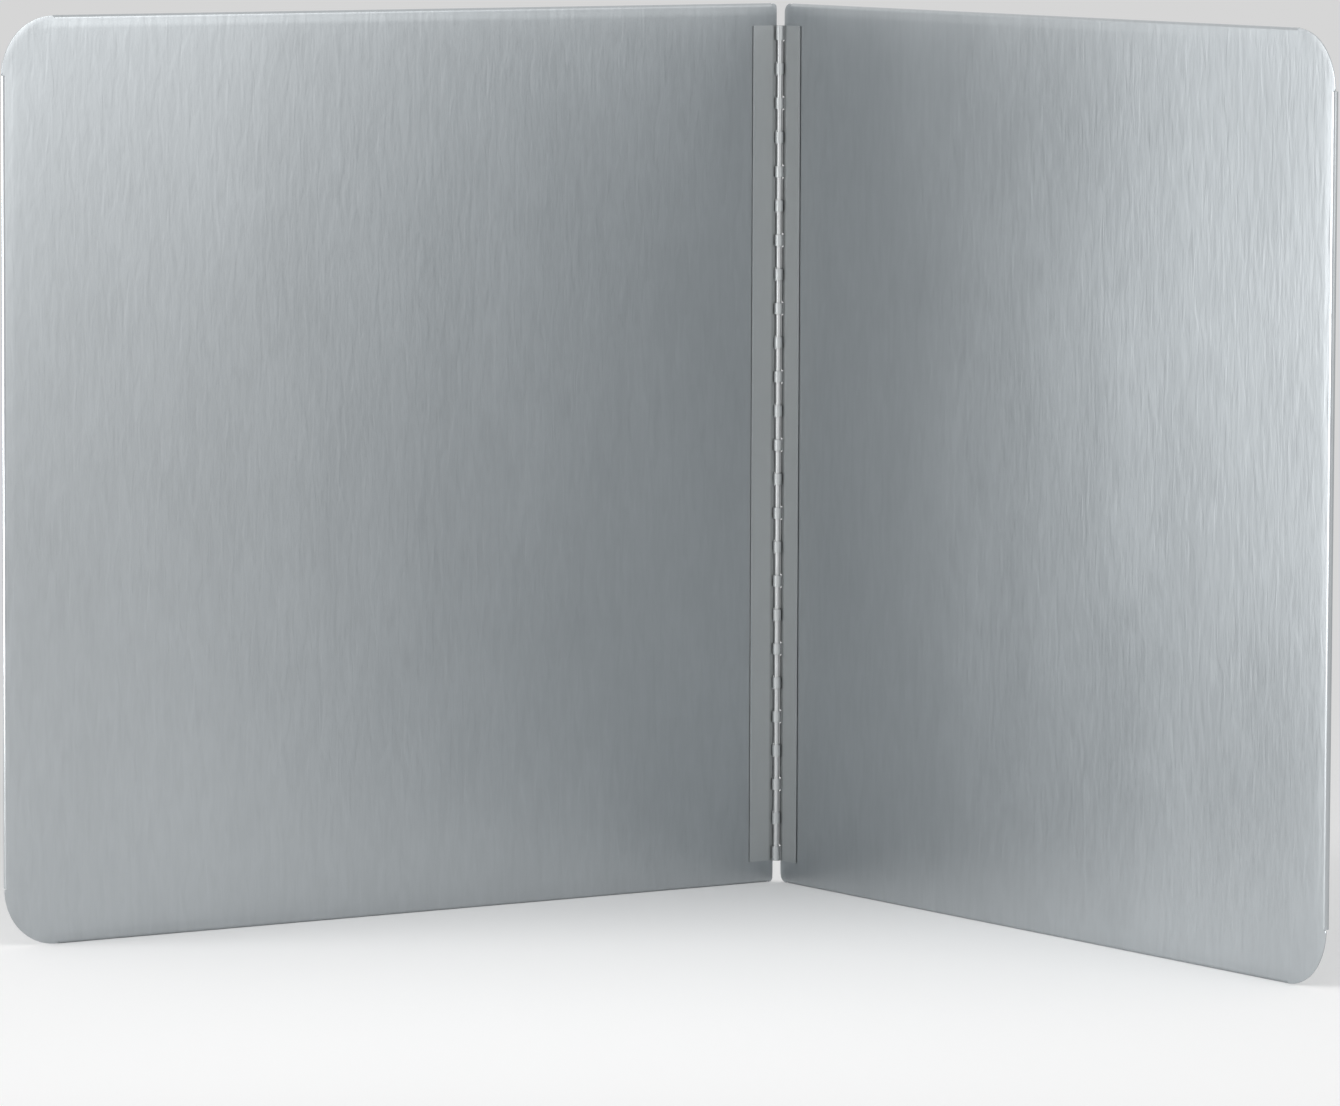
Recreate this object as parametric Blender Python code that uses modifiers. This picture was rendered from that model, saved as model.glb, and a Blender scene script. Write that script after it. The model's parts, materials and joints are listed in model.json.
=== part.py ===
"""A folding stove splash guard: two hemmed sheet-metal panels on one long continuous hinge.

Both panels are modelled flat, in one plane, on either side of the hinge axis. The right one is
then folded forwards by FOLD, into the corner that the guard makes behind a stove. Each piece is
centred on the hinge axis at half the panel's height, where its parent empty stands.
"""

import math

import bmesh
import bpy
from mathutils import Vector

MM = 0.001

# Panels
PANEL_WIDTH = 400 * MM
PANEL_HEIGHT = 400 * MM
SHEET = 0.5 * MM
CORNER_RADIUS = 25 * MM
CORNER_STEPS = 20
LEFT_INNER_RADIUS = 1.8 * MM
RIGHT_INNER_RADIUS = 4 * MM
INNER_STEPS = 6
CORNER_LIFT = 0.3 * MM
HEM_SET_BACK = 0.5 * MM

# Hems: a shallow crease, a rolled edge, and a flap that returns along the back
CREASE = 5 * MM
BAND_TILT = math.radians(6)
HEM_RADIUS = 1.15 * MM
HEM_STEP = math.radians(24)
HEM_STEPS = 8
FLAP = 6.1 * MM
RUN_OUT = 1 * MM

# Hinge
FOLD = math.radians(90)
HINGE_MARGIN = 10 * MM
LEAF_REACH = 13.3 * MM
LEAF_SHEET = 0.6 * MM
PIN_RADIUS = 1.3 * MM
PIN_CLEARANCE = 0.1 * MM
PIN_RECESS = 0.5 * MM
PIN_SIDES = 24
PIN_CHAMFER = 0.25 * MM
KNUCKLE_WRAP = math.radians(295)
KNUCKLE_STEPS = 20
KNUCKLES = 25
KNUCKLE = 5.1 * MM
END_KNUCKLE = 6.6 * MM
WINDOW_REACH = 0.4 * MM
NOTCH_REACH = 1.9 * MM
NOTCH_MARGIN = 0.9 * MM
WINDOW_CORNER = 0.7 * MM
WINDOW_CORNER_STEPS = 3
CURL_CUT_DEPTH = 1.1 * MM

# Gaps between neighbouring pieces, and how far a cutter passes what it cuts
SEAT_GAP = 0.3 * MM
EDGE_GAP = 0.2 * MM
CUT_BEYOND = 1 * MM
WELD = 0.001 * MM

# Colours, roughness
PANEL_LOOK = ((0.56, 0.59, 0.60), 0.38)
LEAF_LOOK = ((0.60, 0.62, 0.62), 0.34)
PIN_LOOK = ((0.78, 0.79, 0.80), 0.22)
SMOOTH_ANGLE = math.radians(30)

HALF_HEIGHT = PANEL_HEIGHT / 2
HINGE_LENGTH = PANEL_HEIGHT - 2 * HINGE_MARGIN
KNUCKLE_INNER = PIN_RADIUS + PIN_CLEARANCE
KNUCKLE_OUTER = KNUCKLE_INNER + LEAF_SHEET
PANEL_PLANE = KNUCKLE_OUTER + SEAT_GAP
HEM_CENTRE = HEM_RADIUS * math.cos(HEM_STEP / 2) + SHEET / 2


def hem_profile():
    """Points (distance in from the edge, depth) along the middle of the folded sheet."""
    band = (CREASE - HEM_CENTRE + HEM_RADIUS * math.sin(BAND_TILT)) / math.cos(BAND_TILT)
    centre_depth = SHEET / 2 + band * math.sin(BAND_TILT) + HEM_RADIUS * math.cos(BAND_TILT)
    points = [(CREASE, SHEET / 2)]
    for step in range(HEM_STEPS + 1):
        turn = BAND_TILT + step * HEM_STEP
        inwards = HEM_CENTRE - HEM_RADIUS * math.sin(turn)
        points.append((inwards, centre_depth - HEM_RADIUS * math.cos(turn)))
    closing = turn - math.pi
    inwards, depth = points[-1]
    points.append((inwards + FLAP * math.cos(closing), depth - FLAP * math.sin(closing)))
    return points


def hem_depth():
    """How far the rolled edge reaches behind the panel's front face."""
    deepest = max(depth for _, depth in hem_profile())
    return deepest + SHEET / 2


AXIS_OFFSET = (PANEL_WIDTH + EDGE_GAP - PANEL_PLANE - hem_depth()) / 2


def material(name, colour, roughness):
    made = bpy.data.materials.new(name)
    made.use_nodes = True
    shader = made.node_tree.nodes["Principled BSDF"]
    shader.inputs["Base Color"].default_value = (*colour, 1)
    shader.inputs["Metallic"].default_value = 1
    shader.inputs["Roughness"].default_value = roughness
    return made


def add_object(name, data, collection, parent=None):
    made = bpy.data.objects.new(name, data)
    collection.objects.link(made)
    made.parent = parent
    return made


def evaluated_mesh(source):
    return bpy.data.meshes.new_from_object(source.evaluated_get(bpy.context.evaluated_depsgraph_get()))


def finish_surface(piece, look):
    """Applies the piece's modifiers, then shades its rounds smooth and leaves its large faces flat."""
    mesh = evaluated_mesh(piece)
    mesh.name = piece.name
    piece.modifiers.clear()
    piece.data = mesh
    mesh.materials.append(look)
    mesh.shade_smooth()
    mesh.set_sharp_from_angle(angle=SMOOTH_ANGLE)
    flats = piece.modifiers.new("flats", "WEIGHTED_NORMAL")
    flats.keep_sharp = True


def extruded(name, outlines, half_thickness):
    """The closed mesh of flat outlines, filled and extruded both ways along its own Z."""
    data = bpy.data.curves.new(name, "CURVE")
    data.dimensions = "2D"
    data.fill_mode = "BOTH"
    data.extrude = half_thickness
    for outline in outlines:
        spline = data.splines.new("POLY")
        spline.points.add(len(outline) - 1)
        for point, (x, y) in zip(spline.points, outline):
            point.co = (x, y, 0, 1)
        spline.use_cyclic_u = True
    curve = add_object(name, data, bpy.context.scene.collection)
    mesh = evaluated_mesh(curve)
    bpy.data.objects.remove(curve)
    bm = bmesh.new()
    bm.from_mesh(mesh)
    bmesh.ops.remove_doubles(bm, verts=bm.verts, dist=WELD)
    bmesh.ops.recalc_face_normals(bm, faces=bm.faces)
    bm.to_mesh(mesh)
    bm.free()
    mesh.name = name
    return mesh


# Panels


def straight_edges(inner_radius):
    """The three hemmed edges of a panel, in its plane: across from the hinge, and up.

    Each has its origin, its direction, the direction inwards, where along it the corner curves
    begin, and how far in from the hem these curves lie there.
    """
    across = Vector((1, 0))
    up = Vector((0, 1))
    wide = PANEL_WIDTH - HEM_SET_BACK
    curve_across = PANEL_WIDTH - CORNER_RADIUS
    curve_up = CORNER_LIFT + CORNER_RADIUS
    return {
        "bottom": (Vector((0, 0)), across, up, inner_radius, curve_across, CORNER_LIFT),
        "top": (Vector((0, PANEL_HEIGHT)), across, -up, inner_radius, curve_across, CORNER_LIFT),
        "outer": (Vector((wide, 0)), up, -across, curve_up, PANEL_HEIGHT - curve_up, -HEM_SET_BACK),
    }


def band_row(edge, profile, row):
    """The four points of the crease, row 0, or of the band's outer line, row 1."""
    origin, along, inward, start, finish, curve_inwards = edge
    inwards, depth = profile[row]
    flat = inwards if row == 0 else curve_inwards
    places = [
        (start, flat, SHEET / 2),
        (start + RUN_OUT, inwards, depth),
        (finish - RUN_OUT, inwards, depth),
        (finish, flat, SHEET / 2),
    ]
    return [on_panel(origin + s * along + t * inward, deep) for s, t, deep in places]


def on_panel(place, depth):
    return Vector((-EDGE_GAP - place.x, PANEL_PLANE + depth, place.y - HALF_HEIGHT))


def corner_curve(centre, radius, start_angle, steps):
    points = []
    for step in range(steps + 1):
        angle = start_angle + math.radians(90) * step / steps
        place = centre + radius * Vector((math.cos(angle), math.sin(angle)))
        points.append(on_panel(place, SHEET / 2))
    return points


def corner_curves(inner_radius):
    """The four rounded corners, anticlockwise from the lower outer one."""
    curves = []
    for angle, across, radius, steps in (
        (-90, PANEL_WIDTH - CORNER_RADIUS, CORNER_RADIUS, CORNER_STEPS),
        (0, PANEL_WIDTH - CORNER_RADIUS, CORNER_RADIUS, CORNER_STEPS),
        (90, inner_radius, inner_radius, INNER_STEPS),
        (180, inner_radius, inner_radius, INNER_STEPS),
    ):
        up = CORNER_LIFT + radius
        if angle in (0, 90):
            up = PANEL_HEIGHT - up
        curves.append(corner_curve(Vector((across, up)), radius, math.radians(angle), steps))
    return curves


def extrude_row(bm, verts, places):
    """Extrudes the chain of edges through these vertices, and puts the new ones in their places."""
    edges = [bm.edges.get(pair) for pair in zip(verts, verts[1:])]
    made = bmesh.ops.extrude_edge_only(bm, edges=edges)["geom"]
    fresh = {item for item in made if isinstance(item, bmesh.types.BMVert)}
    row = []
    for vert, place in zip(verts, places):
        twin = next(e.other_vert(vert) for e in vert.link_edges if e.other_vert(vert) in fresh)
        row.append(twin)
        twin.co = place
    return row


def panel_sheet(name, inner_radius):
    """The middle surface of one panel: the flat sheet, with each hem extruded from its crease."""
    profile = hem_profile()
    edges = straight_edges(inner_radius)
    creases = {side: band_row(edge, profile, 0) for side, edge in edges.items()}
    curves = corner_curves(inner_radius)
    outline = creases["bottom"] + curves[0] + creases["outer"] + curves[1]
    outline += creases["top"][::-1] + curves[2] + curves[3]
    bm = bmesh.new()
    bm.faces.new([bm.verts.new(place) for place in outline])
    for side, edge in edges.items():
        crease = [min(bm.verts, key=lambda v: (v.co - place).length) for place in creases[side]]
        band = extrude_row(bm, crease, band_row(edge, profile, 1))
        hem = band[1:3]
        origin, along, inward, start, finish = edge[:5]
        for inwards, depth in profile[2:]:
            places = [
                on_panel(origin + position * along + inwards * inward, depth)
                for position in (start + RUN_OUT, finish - RUN_OUT)
            ]
            hem = extrude_row(bm, hem, places)
    bmesh.ops.remove_doubles(bm, verts=bm.verts, dist=WELD)
    bmesh.ops.recalc_face_normals(bm, faces=bm.faces)
    mesh = bpy.data.meshes.new(name)
    bm.to_mesh(mesh)
    bm.free()
    return mesh


def add_panel(name, inner_radius, parts, parent):
    panel = add_object(name, panel_sheet(name, inner_radius), parts, parent)
    sheet = panel.modifiers.new("sheet", "SOLIDIFY")
    sheet.thickness = SHEET
    sheet.offset = 0
    sheet.use_even_offset = True
    return panel


# Hinge


def leaf_outline():
    """Outline (across, depth) of a leaf: its strip, and the curl round the pin."""
    outline = [(-LEAF_REACH, KNUCKLE_INNER), (-LEAF_REACH, KNUCKLE_OUTER)]
    turns = [KNUCKLE_WRAP * step / KNUCKLE_STEPS for step in range(KNUCKLE_STEPS + 1)]
    for radius, order in ((KNUCKLE_OUTER, turns), (KNUCKLE_INNER, turns[::-1])):
        outline += [(radius * math.sin(turn), radius * math.cos(turn)) for turn in order]
    return outline


def knuckle_spans():
    """The lowest and highest point of each knuckle, from the top down."""
    window = HINGE_LENGTH - 2 * END_KNUCKLE - (KNUCKLES - 2) * KNUCKLE
    window /= KNUCKLES - 1
    spans = []
    high = HINGE_LENGTH / 2
    for number in range(KNUCKLES):
        height = END_KNUCKLE if number in (0, KNUCKLES - 1) else KNUCKLE
        spans.append((high - height, high))
        high -= height + window
    return spans


def leaf_cuts(owned):
    """Runs of cuts between a leaf's own knuckles: each is its top, its bottom and where it stops.

    Beside a window the strip reaches under the pin, and beside the other leaf's knuckle it
    stops short of the curl.
    """
    spans = []
    for number, (low, high) in enumerate(knuckle_spans()):
        margin = 0 if number in owned else NOTCH_MARGIN
        spans.append((low - margin, high + margin))
    runs = [[]]
    for number, (low, high) in enumerate(spans):
        if number in owned:
            runs.append([])
        else:
            runs[-1].append((high, low, NOTCH_REACH))
        if number < KNUCKLES - 1:
            runs[-1].append((low, spans[number + 1][1], WINDOW_REACH))
    return [run for run in runs if run]


def rounded_corner(before, corner, after):
    """An arc in place of a square corner."""
    towards = [(Vector(other) - Vector(corner)).normalized() for other in (before, after)]
    centre = Vector(corner) + WINDOW_CORNER * (towards[0] + towards[1])
    arc = []
    for step in range(WINDOW_CORNER_STEPS + 1):
        turn = math.radians(90) * step / WINDOW_CORNER_STEPS
        arc.append(centre - WINDOW_CORNER * (towards[1] * math.cos(turn) + towards[0] * math.sin(turn)))
    return [tuple(point) for point in arc]


def comb_outline(run):
    """Outline (across, up) of one run of cuts, past the curl on one side, stepped on the other."""
    far = KNUCKLE_OUTER + CUT_BEYOND
    steps = []
    for high, low, reach in run:
        steps += [(-reach, high), (-reach, low)]
    outline = [(far, run[0][0])]
    for before, corner, after in zip(outline + steps, steps, steps[1:] + [(far, run[-1][1])]):
        outline += rounded_corner(before, corner, after)
    return outline + [(far, run[-1][1])]


def block_outline(run):
    """Outline (across, up) of a block over the whole curl, as high as one run of cuts."""
    far = KNUCKLE_OUTER + CUT_BEYOND
    top = run[0][0]
    bottom = run[-1][1]
    return [(-far, bottom), (far, bottom), (far, top), (-far, top)]


def add_cut(leaf, label, outlines, back, cutters):
    """Cuts these outlines out of a leaf, from in front of its curl to this depth."""
    front = -KNUCKLE_OUTER - CUT_BEYOND
    mesh = extruded(leaf.name + label, outlines, (back - front) / 2)
    cutter = add_object(leaf.name + label, mesh, cutters, leaf.parent)
    cutter.location = (0, (front + back) / 2, 0)
    cutter.rotation_euler = (math.radians(90), 0, leaf.rotation_euler.y)
    cutter.hide_render = True
    cutter.display_type = "WIRE"
    cut = leaf.modifiers.new("cut" + label, "BOOLEAN")
    cut.operation = "DIFFERENCE"
    cut.solver = "EXACT"
    cut.object = cutter


def add_leaf(name, mesh, owned, parts, cutters, parent, turned):
    leaf = add_object(name, mesh, parts, parent)
    if turned:
        leaf.rotation_euler = (0, math.radians(180), 0)
    runs = leaf_cuts(owned)
    add_cut(leaf, "_edges", [comb_outline(run) for run in runs], KNUCKLE_OUTER + CUT_BEYOND, cutters)
    add_cut(leaf, "_curls", [block_outline(run) for run in runs], CURL_CUT_DEPTH, cutters)
    return leaf


def pin_mesh():
    mesh = bpy.data.meshes.new("hinge_pin")
    bm = bmesh.new()
    length = HINGE_LENGTH - 2 * PIN_RECESS
    bmesh.ops.create_cone(
        bm, cap_ends=True, segments=PIN_SIDES, radius1=PIN_RADIUS, radius2=PIN_RADIUS, depth=length
    )
    bm.to_mesh(mesh)
    bm.free()
    return mesh


def add_pin(parts, parent):
    pin = add_object("hinge_pin", pin_mesh(), parts, parent)
    ends = pin.modifiers.new("ends", "BEVEL")
    ends.width = PIN_CHAMFER
    ends.segments = 2
    ends.limit_method = "ANGLE"
    ends.angle_limit = math.radians(60)
    return pin


def side_empty(name, parts, fold):
    """The parent of one side's pieces, on the hinge axis, in the middle of the panel's height."""
    empty = add_object(name, None, parts)
    empty.location = (AXIS_OFFSET, AXIS_OFFSET, HALF_HEIGHT)
    empty.rotation_euler = (0, 0, -fold)
    return empty


def build():
    for old in list(bpy.data.objects):
        bpy.data.objects.remove(old)
    parts = bpy.data.collections.new("stove_splash_guard")
    cutters = bpy.data.collections.new("cutters")
    for collection in (parts, cutters):
        bpy.context.scene.collection.children.link(collection)

    left = side_empty("left_side", parts, 0)
    right = side_empty("right_side", parts, FOLD)

    left_panel = add_panel("left_panel", LEFT_INNER_RADIUS, parts, left)
    right_panel = add_panel("right_panel", RIGHT_INNER_RADIUS, parts, right)
    right_panel.rotation_euler = (0, math.radians(180), 0)
    panel_look = material("brushed_panel", *PANEL_LOOK)
    finish_surface(left_panel, panel_look)
    finish_surface(right_panel, panel_look)

    leaf = extruded("hinge_leaf", [leaf_outline()], HINGE_LENGTH / 2)
    left_knuckles = range(0, KNUCKLES, 2)
    right_knuckles = range(1, KNUCKLES, 2)
    left_leaf = add_leaf("left_hinge_leaf", leaf, left_knuckles, parts, cutters, left, False)
    right_leaf = add_leaf("right_hinge_leaf", leaf, right_knuckles, parts, cutters, right, True)
    leaf_look = material("hinge_steel", *LEAF_LOOK)
    finish_surface(left_leaf, leaf_look)
    finish_surface(right_leaf, leaf_look)

    finish_surface(add_pin(parts, left), material("pin_steel", *PIN_LOOK))


build()
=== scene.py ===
"""The looks of a folding stove splash guard: brushed steel panels with rolled hems on a long hinge.

Each piece is modelled flat, round the hinge axis at half the panels' height, with the panel
running along -X and its back towards +Y. The left pieces are then stood on the axis as they are,
and the right ones turned over and folded forwards by a right angle. Lengths are in millimetres
until a mesh is made.
"""

import json
import math

import bmesh
import bpy
from mathutils import Matrix, Vector


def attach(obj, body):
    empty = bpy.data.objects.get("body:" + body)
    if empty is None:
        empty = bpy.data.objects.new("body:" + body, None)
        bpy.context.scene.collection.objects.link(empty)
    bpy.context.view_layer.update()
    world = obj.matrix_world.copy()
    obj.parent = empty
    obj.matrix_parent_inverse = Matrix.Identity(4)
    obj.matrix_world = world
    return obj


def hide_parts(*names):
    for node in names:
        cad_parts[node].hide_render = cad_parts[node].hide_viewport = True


MM = 0.001
WELD = 0.0005
BEVEL_SEGMENTS = 2

# Panels. The axis gap lies between the hinge axis and a panel's inner edge. Lifts and set-backs are
# measured from the square that a panel fits in, to the corners' free edges and to the outer hem.
PANEL = 400
SHEET = 0.5
AXIS_GAP = 0.2
CORNER_RADIUS = 25
CORNER_LIFT = 0.2
LIP_SET_BACK = 0.08
HEM_SET_BACK = 0.5
INNER_RADII = {"left": 1.8, "right": 4}
INNER_LIFT = 0.1

# The band along each hem, from its crease outwards, and the faint fall that leads to it, the pillow.
# The band fades out in the corners, where the sheet only rolls off at its rim.
CREASE = 5
CREASE_ROUND = 0.8
BAND_TILT = math.radians(2.2)
BAND_FADE = math.radians(28)
PILLOW = 14
PILLOW_TILT = math.radians(0.3)
RIM_WIDTH = 2.6
RIM_DROP = 0.08
RING_INSETS = (14, 12, 10, 8.5, 7, 5.8, 5.5, 5.2, 4.8, 4.5, 4.2, 3.4, 2.5, 1.9)
LIP_ROWS = 5
RUN_OUT = 0.6
ARC_STEPS = 36
INNER_STEPS = 10

# Hems
HEM_RADIUS = 1.12
HEM_STEP = math.radians(8)
HEM_STEPS = 24
FLAP = 6.1
ROLL_MARGIN = 0.003
RIM_BEVEL = 0.1
SHARP_RIM = math.radians(60)

# Hinge
FOLD = math.radians(90)
LEAF_REACH = 13.3
LEAF_SHEET = 0.6
LEAF_BEVEL = 0.06
SHARP_LEAF = math.radians(50)
PIN_RADIUS = 1.3
PIN_CLEARANCE = 0.1
PIN_RECESS = 0.5
PIN_SIDES = 64
PIN_CHAMFER = 0.25
SHARP_PIN = math.radians(60)
KNUCKLE_WRAP = math.radians(295)
KNUCKLE_STEPS = 59
KNUCKLES = 25
KNUCKLE = 5.1
END_KNUCKLE = 6.6
WINDOW_REACH = 0.4
NOTCH_REACH = 1.9
NOTCH_MARGIN = 0.5
WINDOW_CORNER = 0.7
WINDOW_CORNER_STEPS = 6
CURL_CUT_DEPTH = 1.1
HINGE_MARGIN = 10
SEAT_GAP = 0.3
CUT_BEYOND = 1

# Brushed finish: the width and length of its streaks, and how much they change the look. The relief
# is the depth of the wavy streaks where they change the tone by 1.
NOISE_LOW = 0.3
NOISE_HIGH = 0.7
FINE_LINES = (0.45, 16)
WAVY_STREAKS = (3.3, 18)
CLOUDS = (55, 110)
WAVY_DETAIL = 3
WAVY_DISTORTION = 0.6
LINE_TONE = 0.01
LINE_ROUGHNESS = 0.03
LINE_DEPTH = 0.003
CLOUD_ROUGHNESS = 0.01
RELIEF = 2.8
PANEL_COLOUR = (0.435, 0.459, 0.474)
LEAF_COLOUR = (0.495, 0.514, 0.519)

# Painted shade on the strips behind the pin, in the recess that the pin shades: how far across it
# reaches and over what length it fades, how far behind the axis it begins and is full, and its tone
RECESS_SHADE_REACH = 3.4
RECESS_SHADE_FADE = 1
RECESS_SHADE_FRONT = 0.5
RECESS_SHADE_BACK = 1.2
RECESS_SHADE_TONE = 0.7

# Drawn wire
DIE_MARKS = (0.12, 20)
DIE_MARK_DEPTH = 0.002
SMEARS = (1.2, 6)
WIRE_TONES = (0.93, 1.05)
WIRE_ROUGHNESSES = (0.33, 0.43)
WIRE_COLOUR = (0.56, 0.57, 0.575)

# Stage: the tones that light the object, and the lighter ones that are seen
FLOOR_REACH = 30000
FLOOR_TONE = 0.8
FLOOR_SEEN = 0.96
WORLD_LEVEL = 0.7
WORLD_SEEN = 1.0

# Camera: from the hinge axis at the height of the panels' feet, fitted to the panels' outlines
CAMERA_PLACE = (-2144.8, -3115.2, 513.8)
CAMERA_YAW = math.radians(33.808)
CAMERA_PITCH = math.radians(-5.487)
CAMERA_ROLL = math.radians(0.214)
CAMERA_LENS = 224.72
CAMERA_SENSOR = 36
CAMERA_CLIP = 100000

HALF = PANEL / 2
HINGE_LENGTH = PANEL - 2 * HINGE_MARGIN
KNUCKLE_INNER = PIN_RADIUS + PIN_CLEARANCE
KNUCKLE_OUTER = KNUCKLE_INNER + LEAF_SHEET
PANEL_PLANE = KNUCKLE_OUTER + SEAT_GAP
ROLL_IN = HEM_RADIUS + SHEET / 2 + ROLL_MARGIN
BAND_END = ROLL_IN - HEM_RADIUS * math.sin(BAND_TILT)

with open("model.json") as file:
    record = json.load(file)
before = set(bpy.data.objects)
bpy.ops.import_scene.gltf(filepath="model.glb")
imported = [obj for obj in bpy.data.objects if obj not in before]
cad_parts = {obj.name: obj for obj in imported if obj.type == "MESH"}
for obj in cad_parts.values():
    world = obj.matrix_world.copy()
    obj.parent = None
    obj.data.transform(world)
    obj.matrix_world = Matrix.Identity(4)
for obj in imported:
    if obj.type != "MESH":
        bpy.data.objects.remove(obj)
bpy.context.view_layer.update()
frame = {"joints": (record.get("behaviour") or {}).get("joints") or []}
AXIS = Vector(frame["joints"][0]["pos_m"])


def add_object(name, mesh):
    made = bpy.data.objects.new(name, mesh)
    bpy.context.scene.collection.objects.link(made)
    return made


def mesh_from(name, bm):
    """A smooth mesh in metres, its points welded and its normals outwards."""
    bmesh.ops.remove_doubles(bm, verts=bm.verts, dist=WELD)
    bmesh.ops.dissolve_degenerate(bm, edges=bm.edges, dist=WELD)
    bmesh.ops.recalc_face_normals(bm, faces=bm.faces)
    bmesh.ops.scale(bm, vec=(MM, MM, MM), verts=bm.verts)
    mesh = bpy.data.meshes.new(name)
    bm.to_mesh(mesh)
    bm.free()
    mesh.shade_smooth()
    return mesh


def add_strip(bm, lower, upper, closed=False):
    """Faces between two rows of vertices."""
    count = len(lower)
    for i in range(count if closed else count - 1):
        j = (i + 1) % count
        bm.faces.new((lower[i], lower[j], upper[j], upper[i]))


def stand(piece, side):
    """Puts a piece that is modelled flat on its side of the hinge."""
    turn = Matrix()
    if side == "right":
        turn = Matrix.Rotation(-FOLD, 4, "Z") @ Matrix.Rotation(math.radians(180), 4, "Y")
    piece.matrix_world = Matrix.Translation(AXIS) @ turn
    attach(piece, side + "_side")


def soften_edges(piece, width, sharp):
    """Rounds the edges at which faces meet at more than this angle."""
    edges = piece.modifiers.new("edges", "BEVEL")
    edges.width = width * MM
    edges.segments = BEVEL_SEGMENTS
    edges.limit_method = "ANGLE"
    edges.angle_limit = sharp
    flats = piece.modifiers.new("flats", "WEIGHTED_NORMAL")
    flats.keep_sharp = True


# Panel shape


def on_panel(place, depth):
    """The point this far behind the panel's front, by its place from the inner edge and the foot."""
    return Vector((-AXIS_GAP - place.x, PANEL_PLANE + depth, place.y - HALF))


def direction(angle):
    return Vector((math.cos(angle), math.sin(angle)))


def straight_depth(inset):
    """Depth of the middle of the sheet, this far in from a hem: a faint fall, then the tilted band."""
    faint = max(PILLOW - max(inset, CREASE), 0) ** 2 / (2 * (PILLOW - CREASE))
    start = CREASE + CREASE_ROUND
    band = max(start - inset, 0) ** 2 / (4 * CREASE_ROUND)
    if inset < CREASE - CREASE_ROUND:
        band = CREASE - inset
    return SHEET / 2 + faint * math.tan(PILLOW_TILT) + band * math.tan(BAND_TILT)


def corner_depth(inset):
    """The same at an outer corner, which is flat but for its rolled-off rim."""
    share = min(max(1 - inset / RIM_WIDTH, 0), 1)
    return SHEET / 2 + RIM_DROP * share * share


def sheet_depth(inset, straightness):
    return straight_depth(inset) * straightness + corner_depth(inset) * (1 - straightness)


def quarter(centre, radius):
    """The lower outer quarter of a circle, each point with how much of the band is left there."""
    stations = []
    for step in range(ARC_STEPS + 1):
        turn = math.radians(90) * step / ARC_STEPS
        share = min(min(turn, math.radians(90) - turn) / BAND_FADE, 1)
        place = centre + radius * direction(turn - math.radians(90))
        stations.append((place, 1 - share * share * (3 - 2 * share)))
    return stations


def with_run_outs(arc, start, finish):
    """The arc, led into from the end of one hem and out of to the start of the next."""
    before = [(start, 1), (start.lerp(arc[0][0], 0.5), 1)]
    after = [(finish.lerp(arc[-1][0], 0.5), 1), (finish, 1)]
    return before + arc + after


def outer_stations(inset):
    """Points round the lower outer corner at one inset."""
    across = PANEL - HEM_SET_BACK - CORNER_RADIUS
    arc = quarter(Vector((across, CORNER_RADIUS)), CORNER_RADIUS - inset)
    start = Vector((across - RUN_OUT, inset))
    finish = Vector((across + CORNER_RADIUS - inset, CORNER_RADIUS + RUN_OUT))
    return with_run_outs(arc, start, finish)


def outer_edge():
    """The free edge of the sheet at the lower outer corner, between the ends of the hems."""
    centre = Vector((PANEL - LIP_SET_BACK - CORNER_RADIUS, CORNER_LIFT + CORNER_RADIUS))
    ends = outer_stations(BAND_END)
    return with_run_outs(quarter(centre, CORNER_RADIUS), ends[0][0], ends[-1][0])


def inner_stations(radius, inset):
    """Points from the rounded inner corner to the hem's end at one inset."""
    missing = max(radius - inset, 0)
    first = radius - math.sqrt(radius * radius - missing * missing)
    last = radius + RUN_OUT
    stations = []
    for step in range(INNER_STEPS + 1):
        across = first + (last - first) * step / INNER_STEPS
        stations.append((Vector((across, inset)), 1))
    return stations


def inner_edge(radius):
    """The free edge of the sheet at the lower inner corner."""
    stations = inner_stations(radius, BAND_END)
    edge = []
    for place, share in stations[:-1]:
        missing = max(radius - place.x, 0)
        lift = radius - math.sqrt(radius * radius - missing * missing) + INNER_LIFT
        edge.append((Vector((place.x, min(lift, BAND_END))), share))
    return edge + stations[-1:]


def upside_down(stations):
    return [(Vector((place.x, PANEL - place.y)), share) for place, share in stations]


def add_patch(bm, rows):
    """A sheet through rows of points, to be welded to its neighbours."""
    grid = [[bm.verts.new(point) for point in row] for row in rows]
    for lower, upper in zip(grid, grid[1:]):
        add_strip(bm, lower, upper)


def ring(radius, inset):
    """The line along the three hemmed sides at one inset, from inner edge to inner edge."""
    lower = inner_stations(radius, inset) + outer_stations(inset)
    stations = lower + upside_down(lower)[::-1]
    return [on_panel(place, sheet_depth(inset, share)) for place, share in stations]


def add_lip(bm, near, far):
    """The sheet between the line where the hems begin and a corner's free edge."""
    rows = []
    for row in range(LIP_ROWS + 1):
        points = []
        for (place, share), (edge, _) in zip(near, far):
            between = place.lerp(edge, row / LIP_ROWS)
            inset = BAND_END - (between - place).length
            points.append(on_panel(between, sheet_depth(inset, share)))
        rows.append(points)
    add_patch(bm, rows)


def hem_rows():
    """Points (inset, depth) of the roll and the flap, from the band's end."""
    centre = straight_depth(BAND_END) + HEM_RADIUS * math.cos(BAND_TILT)
    rows = []
    for step in range(HEM_STEPS + 1):
        turn = BAND_TILT + step * HEM_STEP
        rows.append((ROLL_IN - HEM_RADIUS * math.sin(turn), centre - HEM_RADIUS * math.cos(turn)))
    closing = BAND_TILT + HEM_STEPS * HEM_STEP - math.pi
    inset, depth = rows[-1]
    rows.append((inset + FLAP * math.cos(closing), depth - FLAP * math.sin(closing)))
    return rows


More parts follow.
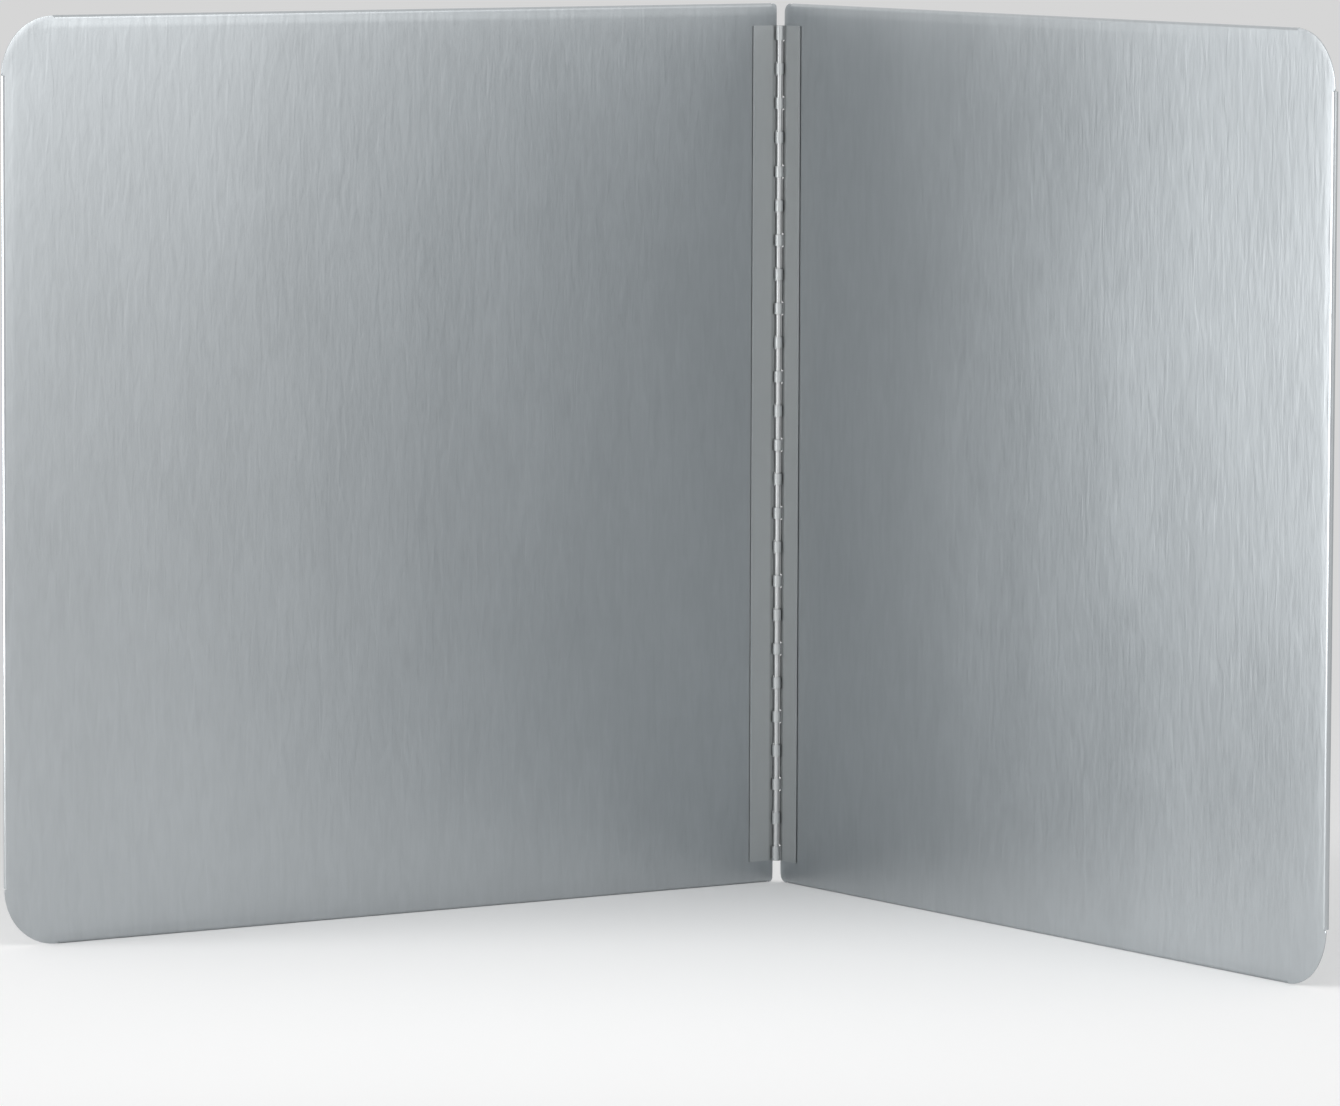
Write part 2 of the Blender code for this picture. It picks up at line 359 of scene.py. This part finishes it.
def add_hem(bm, start, finish):
    """The hem between two points on the end line of its band."""
    along = (finish - start).normalized()
    inward = Vector((-along.y, along.x))
    rows = []
    for inset, depth in hem_rows():
        rows.append([on_panel(end + inward * (inset - BAND_END), depth) for end in (start, finish)])
    add_patch(bm, rows)


def panel_mesh(name, radius):
    """The middle surface of one panel: flat sheet, bands, corner lips and hems."""
    bm = bmesh.new()
    bm.faces.new([bm.verts.new(point) for point in ring(radius, RING_INSETS[0])])
    add_patch(bm, [ring(radius, inset) for inset in RING_INSETS + (BAND_END,)])
    inner = inner_stations(radius, BAND_END)
    outer = outer_stations(BAND_END)
    for near, far in ((inner, inner_edge(radius)), (outer, outer_edge())):
        add_lip(bm, near, far)
        add_lip(bm, upside_down(near), upside_down(far))
    ends = [inner[-1], outer[0], outer[-1]]
    places = [place for place, _ in ends + upside_down(ends)[::-1]]
    for start, finish in zip(places[::2], places[1::2]):
        add_hem(bm, start, finish)
    return mesh_from(name, bm)


def add_panel(side, look):
    name = side + "_panel_sheet"
    panel = add_object(name, panel_mesh(name, INNER_RADII[side]))
    sheet = panel.modifiers.new("sheet", "SOLIDIFY")
    sheet.thickness = SHEET * MM
    sheet.offset = 0
    soften_edges(panel, RIM_BEVEL, SHARP_RIM)
    panel.data.materials.append(look)
    stand(panel, side)
    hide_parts(side + "_panel")


# Hinge shape


def prism(name, outlines, levels, lay):
    """Closed flat outlines extruded between two levels; lay turns (x, y, level) into a point."""
    bm = bmesh.new()
    for outline in outlines:
        ends = [[bm.verts.new(lay(x, y, level)) for x, y in outline] for level in levels]
        add_strip(bm, ends[0], ends[1], closed=True)
        bm.faces.new(ends[0])
        bm.faces.new(ends[1])
    return mesh_from(name, bm)


def leaf_outline():
    """Outline of one leaf in plan: the strip and its curl round the pin."""
    outline = [(-LEAF_REACH, KNUCKLE_INNER), (-LEAF_REACH, KNUCKLE_OUTER)]
    turns = [KNUCKLE_WRAP * step / KNUCKLE_STEPS for step in range(KNUCKLE_STEPS + 1)]
    for radius, order in ((KNUCKLE_OUTER, turns), (KNUCKLE_INNER, turns[::-1])):
        outline += [(radius * math.sin(turn), radius * math.cos(turn)) for turn in order]
    return outline


def knuckle_spans():
    """The lowest and highest point of each knuckle, from the top down."""
    window = (HINGE_LENGTH - 2 * END_KNUCKLE - (KNUCKLES - 2) * KNUCKLE) / (KNUCKLES - 1)
    spans = []
    high = HINGE_LENGTH / 2
    for number in range(KNUCKLES):
        height = END_KNUCKLE if number in (0, KNUCKLES - 1) else KNUCKLE
        spans.append((high - height, high))
        high -= height + window
    return spans


def leaf_cuts(owned):
    """Runs of cuts between a leaf's own knuckles: each is its top, its bottom and where it stops.

    Beside a window the strip reaches under the pin, and beside the other leaf's knuckle it
    stops short of the curl.
    """
    spans = []
    for number, (low, high) in enumerate(knuckle_spans()):
        margin = 0 if number in owned else NOTCH_MARGIN
        spans.append((low - margin, high + margin))
    runs = [[]]
    for number, (low, high) in enumerate(spans):
        if number in owned:
            runs.append([])
        else:
            runs[-1].append((high, low, NOTCH_REACH))
        if number < KNUCKLES - 1:
            runs[-1].append((low, spans[number + 1][1], WINDOW_REACH))
    return [run for run in runs if run]


def rounded_corner(before, corner, after):
    """An arc in place of a square corner."""
    towards = [(Vector(other) - Vector(corner)).normalized() for other in (before, after)]
    centre = Vector(corner) + WINDOW_CORNER * (towards[0] + towards[1])
    arc = []
    for step in range(WINDOW_CORNER_STEPS + 1):
        turn = math.radians(90) * step / WINDOW_CORNER_STEPS
        way = towards[1] * math.cos(turn) + towards[0] * math.sin(turn)
        arc.append(tuple(centre - WINDOW_CORNER * way))
    return arc


def comb_outline(run):
    """Outline (across, up) of one run of cuts, past the curl on one side, stepped on the other."""
    far = KNUCKLE_OUTER + CUT_BEYOND
    steps = []
    for high, low, reach in run:
        steps += [(-reach, high), (-reach, low)]
    first = (far, run[0][0])
    last = (far, run[-1][1])
    outline = [first]
    for before, corner, after in zip([first] + steps, steps, steps[1:] + [last]):
        outline += rounded_corner(before, corner, after)
    return outline + [last]


def block_outline(run):
    """Outline (across, up) of a block over the whole curl, as high as one run of cuts."""
    far = KNUCKLE_OUTER + CUT_BEYOND
    top = run[0][0]
    bottom = run[-1][1]
    return [(-far, bottom), (far, bottom), (far, top), (-far, top)]


def cut_out(leaf, outlines, back):
    """Cuts these outlines out of a leaf, from in front of its curl to this depth."""
    levels = (-KNUCKLE_OUTER - CUT_BEYOND, back)
    block = prism("cutter", outlines, levels, lambda x, y, level: (x, level, y))
    cutter = add_object("cutter", block)
    cut = leaf.modifiers.new("cut", "BOOLEAN")
    cut.operation = "DIFFERENCE"
    cut.solver = "EXACT"
    cut.object = cutter
    evaluated = leaf.evaluated_get(bpy.context.evaluated_depsgraph_get())
    mesh = bpy.data.meshes.new_from_object(evaluated)
    leaf.modifiers.clear()
    leaf.data = mesh
    bpy.data.objects.remove(cutter)


def add_leaf(side, owned, look):
    name = side + "_leaf"
    ends = (-HINGE_LENGTH / 2, HINGE_LENGTH / 2)
    blank = prism(name, [leaf_outline()], ends, lambda x, y, level: (x, y, level))
    leaf = add_object(name, blank)
    runs = leaf_cuts(owned)
    cut_out(leaf, [comb_outline(run) for run in runs], KNUCKLE_OUTER + CUT_BEYOND)
    cut_out(leaf, [block_outline(run) for run in runs], CURL_CUT_DEPTH)
    leaf.data.name = name
    leaf.data.shade_smooth()
    soften_edges(leaf, LEAF_BEVEL, SHARP_LEAF)
    leaf.data.materials.append(look)
    stand(leaf, side)
    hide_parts(side + "_hinge_leaf")


def add_pin(look):
    bm = bmesh.new()
    length = HINGE_LENGTH - 2 * PIN_RECESS
    bmesh.ops.create_cone(
        bm, cap_ends=True, segments=PIN_SIDES, radius1=PIN_RADIUS, radius2=PIN_RADIUS, depth=length
    )
    pin = add_object("drawn_pin", mesh_from("drawn_pin", bm))
    soften_edges(pin, PIN_CHAMFER, SHARP_PIN)
    pin.data.materials.append(look)
    stand(pin, "left")
    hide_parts("hinge_pin")


# Materials


def add_node(tree, kind, inputs=None, **settings):
    """A node with its settings and inputs; an input is a value or another node's socket."""
    made = tree.nodes.new(kind)
    for name, value in settings.items():
        setattr(made, name, value)
    for name, value in (inputs or {}).items():
        if isinstance(value, bpy.types.NodeSocket):
            tree.links.new(value, made.inputs[name])
        else:
            made.inputs[name].default_value = value
    return made


def multiply(tree, first, second):
    return add_node(tree, "ShaderNodeMath", {0: first, 1: second}, operation="MULTIPLY").outputs[0]


def map_range(tree, value, ends, results):
    """A value between these ends, turned into one between these results."""
    inputs = {
        "Value": value,
        "From Min": ends[0],
        "From Max": ends[1],
        "To Min": results[0],
        "To Max": results[1],
    }
    return add_node(tree, "ShaderNodeMapRange", inputs, clamp=True).outputs["Result"]


def streaks(tree, place, size, detail=2, distortion=0.0):
    """Noise drawn out upwards: each streak is about this wide and this long."""
    width, length = (extent * MM for extent in size)
    scale = (1 / width, 1 / width, 1 / length)
    drawn_out = add_node(tree, "ShaderNodeMapping", {"Vector": place, "Scale": scale}).outputs["Vector"]
    inputs = {"Vector": drawn_out, "Scale": 1.0, "Detail": detail, "Distortion": distortion}
    return add_node(tree, "ShaderNodeTexNoise", inputs).outputs["Fac"]


def spread(tree, noise, low, high):
    """A noise stretched over low to high."""
    return map_range(tree, noise, (NOISE_LOW, NOISE_HIGH), (low, high))


def painted_recess_shade(tree, place):
    """The tone of the painted shade behind the pin, where the pin shades the strip; 1 on the open strip
    and on the front of the knuckles.
    """
    apart = add_node(tree, "ShaderNodeSeparateXYZ", {"Vector": place}).outputs
    edge = -RECESS_SHADE_REACH * MM
    near = map_range(tree, apart["X"], (edge, edge + RECESS_SHADE_FADE * MM), (0.0, 1.0))
    deep = map_range(tree, apart["Y"], (RECESS_SHADE_FRONT * MM, RECESS_SHADE_BACK * MM), (0.0, 1.0))
    return map_range(tree, multiply(tree, near, deep), (0.0, 1.0), (1.0, RECESS_SHADE_TONE))


def tinted(tree, colour, tone):
    """A colour made lighter or darker by a tone."""
    scaled = add_node(tree, "ShaderNodeVectorMath", {0: colour, "Scale": tone}, operation="SCALE")
    return scaled.outputs["Vector"]


def bumps(tree, height, depth):
    """A node with bumps this deep."""
    inputs = {"Height": height, "Strength": 1.0, "Distance": depth * MM}
    return add_node(tree, "ShaderNodeBump", inputs)


def new_look(name):
    """A material, its node tree and its shader."""
    made = bpy.data.materials.new(name)
    made.use_nodes = True
    return made, made.node_tree, made.node_tree.nodes["Principled BSDF"]


def brushed_metal(name, colour, roughness, anisotropy, embossed, cloud, shaded_recess=False):
    """Metal brushed upwards: fine lines, broader wavy streaks and slow clouds of tone.

    Embossed is the share by which the wavy streaks change the tone, and their relief grows with it.
    """
    made, tree, shader = new_look(name)
    place = add_node(tree, "ShaderNodeTexCoord").outputs["Object"]
    fine = streaks(tree, place, FINE_LINES)
    wavy = streaks(tree, place, WAVY_STREAKS, WAVY_DETAIL, WAVY_DISTORTION)
    clouds = streaks(tree, place, CLOUDS)

    tone = spread(tree, fine, 1 - LINE_TONE, 1 + LINE_TONE)
    tone = multiply(tree, tone, spread(tree, wavy, 1 - embossed, 1 + embossed))
    tone = multiply(tree, tone, spread(tree, clouds, 1 - cloud, 1 + cloud))
    # Painted shade: darkens the strip close behind the pin, where the pin shades the recess
    if shaded_recess:
        tone = multiply(tree, tone, painted_recess_shade(tree, place))
    tree.links.new(tinted(tree, colour, tone), shader.inputs["Base Color"])

    shader.inputs["Metallic"].default_value = 1
    shader.inputs["Anisotropic"].default_value = anisotropy
    scratched = spread(tree, fine, -LINE_ROUGHNESS, LINE_ROUGHNESS)
    uneven = spread(tree, clouds, roughness - CLOUD_ROUGHNESS, roughness + CLOUD_ROUGHNESS)
    rough = add_node(tree, "ShaderNodeMath", {0: scratched, 1: uneven}, operation="ADD")
    tree.links.new(rough.outputs[0], shader.inputs["Roughness"])

    relief = bumps(tree, wavy, RELIEF * embossed)
    lines = bumps(tree, fine, LINE_DEPTH)
    tree.links.new(relief.outputs["Normal"], lines.inputs["Normal"])
    tree.links.new(lines.outputs["Normal"], shader.inputs["Normal"])
    across = add_node(
        tree,
        "ShaderNodeVectorTransform",
        {"Vector": (1, 0, 0)},
        vector_type="VECTOR",
        convert_from="OBJECT",
        convert_to="WORLD",
    )
    tree.links.new(across.outputs["Vector"], shader.inputs["Tangent"])
    return made


def drawn_wire(name, colour):
    """Bright wire with smears of tone and fine lengthwise die marks."""
    made, tree, shader = new_look(name)
    place = add_node(tree, "ShaderNodeTexCoord").outputs["Object"]
    marks = streaks(tree, place, DIE_MARKS)
    smears = streaks(tree, place, SMEARS)
    tone = spread(tree, smears, *WIRE_TONES)
    tree.links.new(tinted(tree, colour, tone), shader.inputs["Base Color"])
    shader.inputs["Metallic"].default_value = 1
    tree.links.new(spread(tree, smears, *WIRE_ROUGHNESSES), shader.inputs["Roughness"])
    scratches = bumps(tree, marks, DIE_MARK_DEPTH)
    tree.links.new(scratches.outputs["Normal"], shader.inputs["Normal"])
    return made


# Stage


def grey(tone):
    return (tone, tone, tone, 1)


def seen_white(tree):
    """1 for what the camera sees, directly or in metal or glass."""
    path = add_node(tree, "ShaderNodeLightPath").outputs
    seen = path["Is Camera Ray"]
    for ray in ("Is Glossy Ray", "Is Transmission Ray"):
        either = add_node(tree, "ShaderNodeMath", {0: seen, 1: path[ray]}, operation="MAXIMUM")
        seen = either.outputs[0]
    return seen


def add_floor():
    bm = bmesh.new()
    bmesh.ops.create_grid(bm, x_segments=1, y_segments=1, size=FLOOR_REACH)
    floor = add_object("floor", mesh_from("floor", bm))
    look, tree, shader = new_look("pale_floor")
    tones = {"Factor": seen_white(tree), "A": grey(FLOOR_TONE), "B": grey(FLOOR_SEEN)}
    colour = add_node(tree, "ShaderNodeMix", tones, data_type="RGBA")
    tree.links.new(colour.outputs["Result"], shader.inputs["Base Color"])
    shader.inputs["Roughness"].default_value = 1
    shader.inputs["Specular IOR Level"].default_value = 0
    floor.data.materials.append(look)


def add_world():
    world = bpy.data.worlds.new("studio")
    world.use_nodes = True
    bpy.context.scene.world = world
    tree = world.node_tree
    background = tree.nodes["Background"]
    background.inputs["Color"].default_value = grey(1)
    strength = map_range(tree, seen_white(tree), (0.0, 1.0), (WORLD_LEVEL, WORLD_SEEN))
    tree.links.new(strength, background.inputs["Strength"])


def add_softbox(name, place, aim, size, level, beam):
    """A softbox, placed and sized in metres; a level of 1 gives off as much light as a white wall.

    A beam below 180 degrees is a grid in front of it, which keeps most of its light off the floor.
    """
    width, height = size
    light = bpy.data.lights.new(name, "AREA")
    light.shape = "RECTANGLE"
    light.size = width
    light.size_y = height
    light.energy = level * math.pi * width * height
    light.spread = math.radians(beam)
    made = add_object(name, light)
    made.location = place
    made.rotation_euler = (Vector(aim) - Vector(place)).to_track_quat("-Z", "Y").to_euler()
    made.visible_camera = False


def add_camera():
    camera = bpy.data.cameras.new("camera")
    camera.sensor_width = CAMERA_SENSOR
    camera.lens = CAMERA_LENS
    camera.clip_end = CAMERA_CLIP * MM
    made = add_object("camera", camera)
    place = Vector(CAMERA_PLACE) * MM + Vector((AXIS.x, AXIS.y, 0))
    yaw = Matrix.Rotation(-CAMERA_YAW, 4, "Z")
    pitch = Matrix.Rotation(math.radians(90) + CAMERA_PITCH, 4, "X")
    roll = Matrix.Rotation(CAMERA_ROLL, 4, "Z")
    made.matrix_world = Matrix.Translation(place) @ yaw @ pitch @ roll
    bpy.context.scene.camera = made


panel_look = brushed_metal(
    "brushed_sheet", PANEL_COLOUR, roughness=0.35, anisotropy=0.3, embossed=0.03, cloud=0.015
)
# The strips get painted shade behind the pin
leaf_look = brushed_metal(
    "satin_strip", LEAF_COLOUR, roughness=0.42, anisotropy=0.3, embossed=0.008, cloud=0.01, shaded_recess=True
)
pin_look = drawn_wire("bright_wire", WIRE_COLOUR)

# The left leaf has every other knuckle from the top one on, and the right leaf those between
for side, owned in (("left", range(0, KNUCKLES, 2)), ("right", range(1, KNUCKLES, 2))):
    add_panel(side, panel_look)
    add_leaf(side, owned, leaf_look)
add_pin(pin_look)

add_floor()
add_world()
add_softbox(
    "front_softbox",
    place=(0.10, -0.90, 0.60),
    aim=(-0.2, 0.2, 0.4),
    size=(0.45, 0.7),
    level=0.9,
    beam=120,
)
add_softbox(
    "right_softbox",
    place=(0.45, -1.20, 0.80),
    aim=(-0.2, 0.2, 0.4),
    size=(0.55, 0.55),
    level=1.0,
    beam=120,
)
add_softbox(
    "left_softbox",
    place=(-0.70, 0.14, 0.27),
    aim=(0.2, -0.1, 0.16),
    size=(0.7, 0.42),
    level=1.36,
    beam=70,
)
add_camera()
bpy.context.scene.view_settings.view_transform = "Standard"
